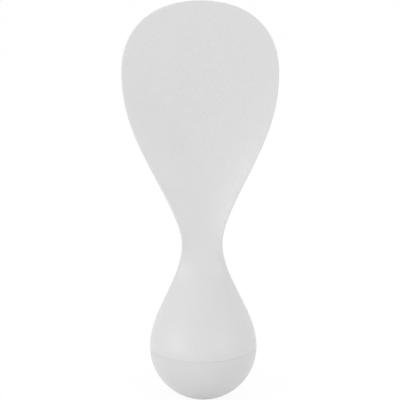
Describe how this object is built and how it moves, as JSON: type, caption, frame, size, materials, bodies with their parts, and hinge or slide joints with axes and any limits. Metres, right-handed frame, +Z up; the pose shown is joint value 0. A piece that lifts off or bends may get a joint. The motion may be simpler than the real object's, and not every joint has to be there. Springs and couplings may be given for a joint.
{
  "type": "rice paddle",
  "caption": "Self-standing rice paddle: a wide dished blade on a narrow neck above a weighted ball that keeps it upright on the table.",
  "frame": {"origin": "centre of the flat foot under the ball, on the table", "axes": "+Z up along the paddle to the blade's tip, X across the blade, -Y the way the hollow side of the blade looks"},
  "size_m": [0.072, 0.05, 0.1868],
  "materials": {
    "blade_plastic": "satin moulded white, with fine raised dots on the hollow of the blade",
    "cap_plastic": "satin moulded white",
    "weight_steel": "turned",
    "fastener_steel": "zinc plated",
    "seal_rubber": "soft moulded"
  },
  "bodies": {
    "root": {"paddle_body": "blade_plastic", "base_cap": "cap_plastic", "counterweight": "weight_steel", "weight_washer": "fastener_steel", "weight_screw": "fastener_steel", "seal_ring": "seal_rubber"}
  },
  "joints": []
}
